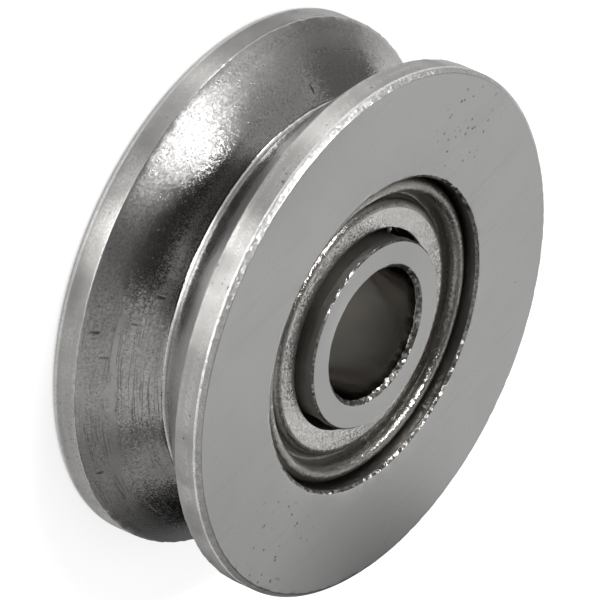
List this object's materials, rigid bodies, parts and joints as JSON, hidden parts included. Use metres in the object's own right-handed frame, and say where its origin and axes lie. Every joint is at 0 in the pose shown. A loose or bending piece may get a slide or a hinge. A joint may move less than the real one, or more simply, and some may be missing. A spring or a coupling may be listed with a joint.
{
  "type": "v groove wheel",
  "caption": "Small shielded ball bearing whose thick outer ring carries a V groove, used as a guide wheel that rolls on a rail edge, wire or rod.",
  "frame": {"origin": "centre of the wheel, on the spin axis in the middle of the V groove", "axes": "+Z along the bore axis, out of the front face; the wheel lies on its back face"},
  "size_m": [0.012, 0.012, 0.004],
  "materials": {
    "turned_steel": "turned and ground bearing steel, lightly scuffed",
    "ground_steel": "ground bearing steel",
    "shield_steel": "pressed sheet steel, matt and finely grained",
    "ball_steel": "polished",
    "cage_steel": "pressed strip steel",
    "rivet_steel": "plain steel"
  },
  "bodies": {
    "hub": {"inner_ring": "ground_steel"},
    "wheel": {"outer_ring": "turned_steel", "front_shield": "shield_steel", "back_shield": "shield_steel"},
    "cage": {"cage_front": "cage_steel", "cage_back": "cage_steel", "rivet_1": "rivet_steel", "rivet_2": "rivet_steel", "rivet_3": "rivet_steel", "rivet_4": "rivet_steel", "rivet_5": "rivet_steel", "rivet_6": "rivet_steel", "rivet_7": "rivet_steel"},
    "rolling_ball_1": {"ball_1": "ball_steel"},
    "rolling_ball_2": {"ball_2": "ball_steel"},
    "rolling_ball_3": {"ball_3": "ball_steel"},
    "rolling_ball_4": {"ball_4": "ball_steel"},
    "rolling_ball_5": {"ball_5": "ball_steel"},
    "rolling_ball_6": {"ball_6": "ball_steel"},
    "rolling_ball_7": {"ball_7": "ball_steel"}
  },
  "joints": [
    {"name": "wheel_spin", "type": "hinge", "parent": "hub", "child": "wheel", "pos_m": [0, 0, 0], "axis": [0, 0, 1], "continuous": true},
    {"name": "cage_spin", "type": "hinge", "parent": "hub", "child": "cage", "pos_m": [0, 0, 0], "axis": [0, 0, 1], "continuous": true},
    {"name": "ball_1_spin", "type": "hinge", "parent": "cage", "child": "rolling_ball_1", "pos_m": [0.00275, 0, 0], "axis": [0, 0, 1], "continuous": true},
    {"name": "ball_2_spin", "type": "hinge", "parent": "cage", "child": "rolling_ball_2", "pos_m": [0.00171, 0.00215, 0], "axis": [0, 0, 1], "continuous": true},
    {"name": "ball_3_spin", "type": "hinge", "parent": "cage", "child": "rolling_ball_3", "pos_m": [-0.00061, 0.00268, 0], "axis": [0, 0, 1], "continuous": true},
    {"name": "ball_4_spin", "type": "hinge", "parent": "cage", "child": "rolling_ball_4", "pos_m": [-0.00248, 0.00119, 0], "axis": [0, 0, 1], "continuous": true},
    {"name": "ball_5_spin", "type": "hinge", "parent": "cage", "child": "rolling_ball_5", "pos_m": [-0.00248, -0.00119, 0], "axis": [0, 0, 1], "continuous": true},
    {"name": "ball_6_spin", "type": "hinge", "parent": "cage", "child": "rolling_ball_6", "pos_m": [-0.00061, -0.00268, 0], "axis": [0, 0, 1], "continuous": true},
    {"name": "ball_7_spin", "type": "hinge", "parent": "cage", "child": "rolling_ball_7", "pos_m": [0.00171, -0.00215, 0], "axis": [0, 0, 1], "continuous": true}
  ],
  "couplings": [
    {"joint": "cage_spin", "follows": "wheel_spin", "ratio": 0.64436},
    {"joint": "ball_1_spin", "follows": "wheel_spin", "ratio": 1.5874},
    {"joint": "ball_2_spin", "follows": "wheel_spin", "ratio": 1.5874},
    {"joint": "ball_3_spin", "follows": "wheel_spin", "ratio": 1.5874},
    {"joint": "ball_4_spin", "follows": "wheel_spin", "ratio": 1.5874},
    {"joint": "ball_5_spin", "follows": "wheel_spin", "ratio": 1.5874},
    {"joint": "ball_6_spin", "follows": "wheel_spin", "ratio": 1.5874},
    {"joint": "ball_7_spin", "follows": "wheel_spin", "ratio": 1.5874}
  ]
}
